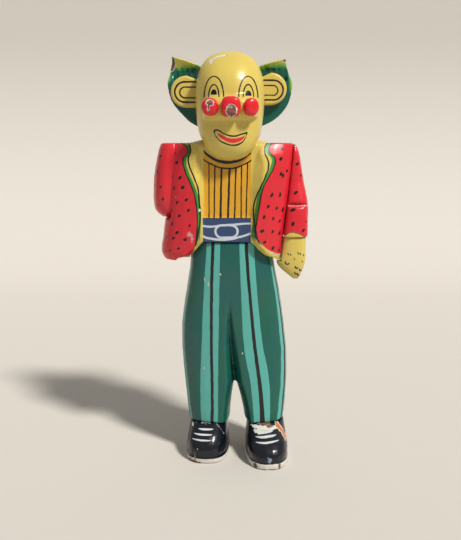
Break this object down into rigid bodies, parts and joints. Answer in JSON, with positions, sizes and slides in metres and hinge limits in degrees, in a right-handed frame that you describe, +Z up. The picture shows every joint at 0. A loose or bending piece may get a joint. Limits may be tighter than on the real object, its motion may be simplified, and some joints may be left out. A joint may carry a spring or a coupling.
{
  "type": "carved wooden figure",
  "caption": "Standing carved and painted wooden clown figure, one arm held behind the back, on flat-soled shoes, from doweled and glued blocks.",
  "frame": {"origin": "on the floor under the middle of the figure's bounding box", "axes": "+Z up through the crown, -Y the way the figure faces, +X towards its left hand"},
  "size_m": [0.1517, 0.1114, 0.3985],
  "materials": {
    "yellow_paint": "hand-painted gloss over a white ground, chipped at edges",
    "red_paint": "hand-painted gloss over a white ground, chipped at edges",
    "hair_paint": "hand-painted gloss over a white ground, chipped at edges",
    "jacket_paint": "hand-painted gloss over a white ground, chipped at edges",
    "trouser_paint": "hand-painted gloss over a white ground, chipped at edges",
    "shoe_paint": "hand-painted gloss over a white ground, chipped at edges",
    "bare_wood": "bare turned dowel"
  },
  "bodies": {
    "root": {"head": "yellow_paint", "right_ear": "yellow_paint", "left_ear": "yellow_paint", "right_hand": "yellow_paint", "left_hand": "yellow_paint", "nose_knob": "red_paint", "right_cheek_knob": "red_paint", "left_cheek_knob": "red_paint", "right_hair": "hair_paint", "left_hair": "hair_paint", "torso": "jacket_paint", "right_arm": "jacket_paint", "left_arm": "jacket_paint", "trousers": "trouser_paint", "right_shoe": "shoe_paint", "left_shoe": "shoe_paint", "neck_dowel": "bare_wood", "right_waist_dowel": "bare_wood", "left_waist_dowel": "bare_wood", "right_shoulder_dowel": "bare_wood", "left_shoulder_dowel": "bare_wood", "right_wrist_dowel": "bare_wood", "left_wrist_dowel": "bare_wood", "right_ankle_dowel": "bare_wood", "left_ankle_dowel": "bare_wood"}
  },
  "joints": []
}
